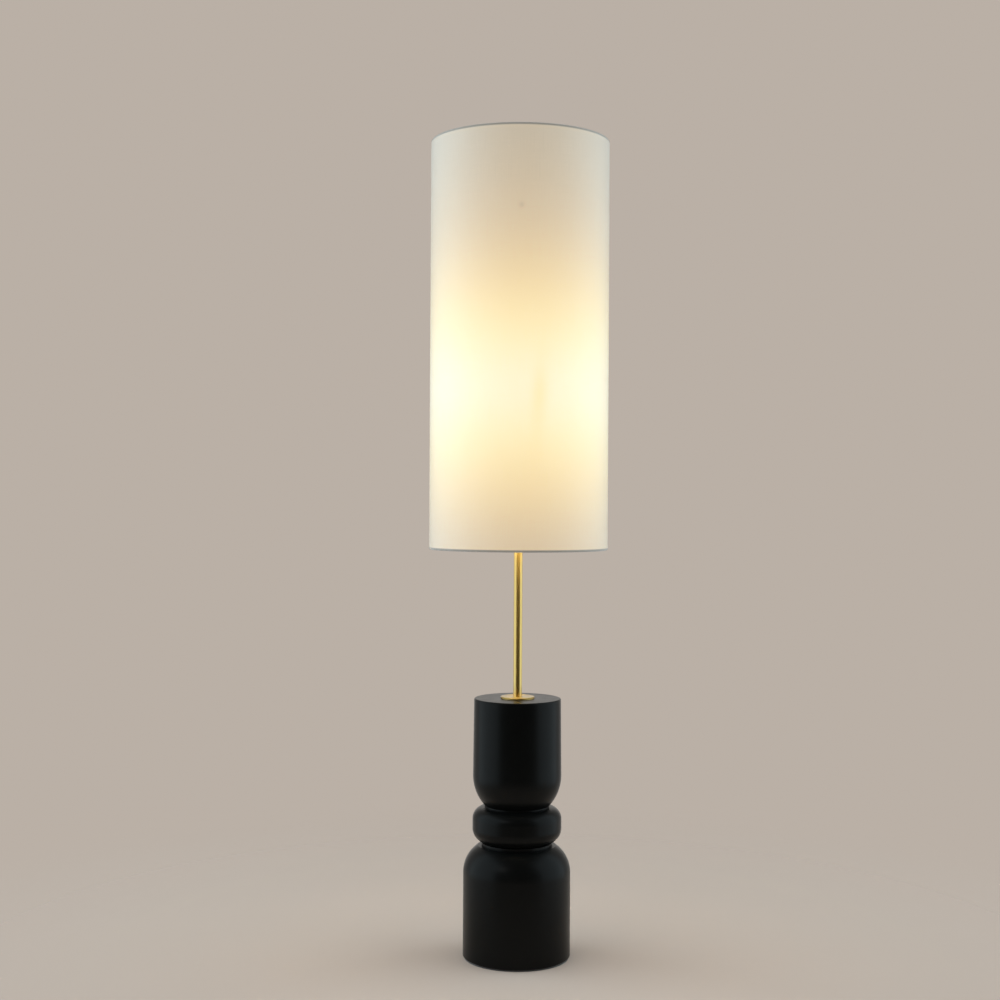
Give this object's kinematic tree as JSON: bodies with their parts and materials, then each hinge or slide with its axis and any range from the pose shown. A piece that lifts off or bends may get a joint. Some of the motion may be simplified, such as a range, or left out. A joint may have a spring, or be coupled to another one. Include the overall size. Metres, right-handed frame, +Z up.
{
  "type": "column floor lamp",
  "caption": "Floor lamp with a tall cylindrical linen shade on a slim brass pole over a turned black base with a round ring between its two drums.",
  "frame": {"origin": "centre of the underside of the base, on the floor", "axes": "+Z up along the pole, -Y towards the front, +X to the right seen from the front; the cord inlet faces +Y"},
  "size_m": [0.263, 0.263, 1.2],
  "materials": {
    "black_paint": "satin black lacquer",
    "brass": "brushed and lacquered",
    "harp_wire": "bright plated wire",
    "steel": "zinc plated",
    "nickel": "nickel plated",
    "iron": "as cast, painted grey",
    "felt": "pressed felt",
    "rubber": "moulded",
    "fibre": "pressed fibre",
    "phenolic": "moulded",
    "knob_black": "moulded, glossy",
    "opal_glass": "opal, lit",
    "clear_glass": "clear",
    "black_glass": "black",
    "filament": "light strip",
    "white_wire": "white powder coat",
    "liner": "stiff translucent sheet",
    "linen": "fine plain weave"
  },
  "bodies": {
    "stand": {"felt_ring": "felt", "base_cover": "steel", "cover_screws": "steel", "lower_drum": "black_paint", "cord_bushing": "rubber", "counterweight": "iron", "bottom_washer": "steel", "lock_washer": "steel", "bottom_nut": "steel", "middle_ring": "black_paint", "upper_drum": "black_paint", "threaded_rod": "steel", "top_flange": "brass", "pole_tube": "brass", "harp_saddle": "steel", "harp": "harp_wire", "harp_stud": "brass", "socket_cap": "brass", "cap_screw": "steel", "socket_shell": "brass", "socket_sleeve": "fibre", "switch_body": "phenolic", "terminal_screws": "brass", "screw_shell": "brass", "centre_contact": "brass"},
    "shade": {"shade_hub": "white_wire", "shade_arms": "white_wire", "top_ring": "white_wire", "bottom_ring": "white_wire", "shade_liner": "liner", "shade_fabric": "linen"},
    "finial": {"finial": "brass"},
    "knob": {"switch_knob": "knob_black", "switch_shaft": "steel"},
    "sleeve_front": {"sleeve_front": "brass"},
    "sleeve_back": {"sleeve_back": "brass"},
    "bulb_tip": {"bulb_contact": "nickel"},
    "bulb": {"bulb_glass": "opal_glass", "bulb_base": "nickel", "bulb_insulator": "black_glass", "bulb_stem": "clear_glass", "bulb_filaments": "filament"}
  },
  "joints": [
    {"name": "shade_turn", "type": "hinge", "parent": "stand", "child": "shade", "pos_m": [0, 0, 0.981], "axis": [0, 0, 1], "continuous": true},
    {"name": "finial_turn", "type": "hinge", "parent": "stand", "child": "finial", "pos_m": [0, 0, 0.99], "axis": [0, 0, 1], "continuous": true},
    {"name": "switch_turn", "type": "hinge", "parent": "stand", "child": "knob", "pos_m": [0, 0, 0.752], "axis": [0.9744, 0.225, 0], "continuous": true},
    {"name": "front_sleeve_lift", "type": "slide", "parent": "stand", "child": "sleeve_front", "axis": [0, 0, 1], "range_m": [0, 0.012]},
    {"name": "back_sleeve_lift", "type": "slide", "parent": "stand", "child": "sleeve_back", "axis": [0, 0, 1], "range_m": [0, 0.012]},
    {"name": "bulb_lift", "type": "slide", "parent": "stand", "child": "bulb_tip", "axis": [0, 0, 1], "range_m": [0, 0.025]},
    {"name": "bulb_turn", "type": "hinge", "parent": "bulb_tip", "child": "bulb", "pos_m": [0, 0, 0.8], "axis": [0, 0, 1], "range_deg": [0, 2481]}
  ],
  "couplings": [
    {"joint": "bulb_turn", "follows": "bulb_lift", "rad_per_m": 1731.4}
  ]
}
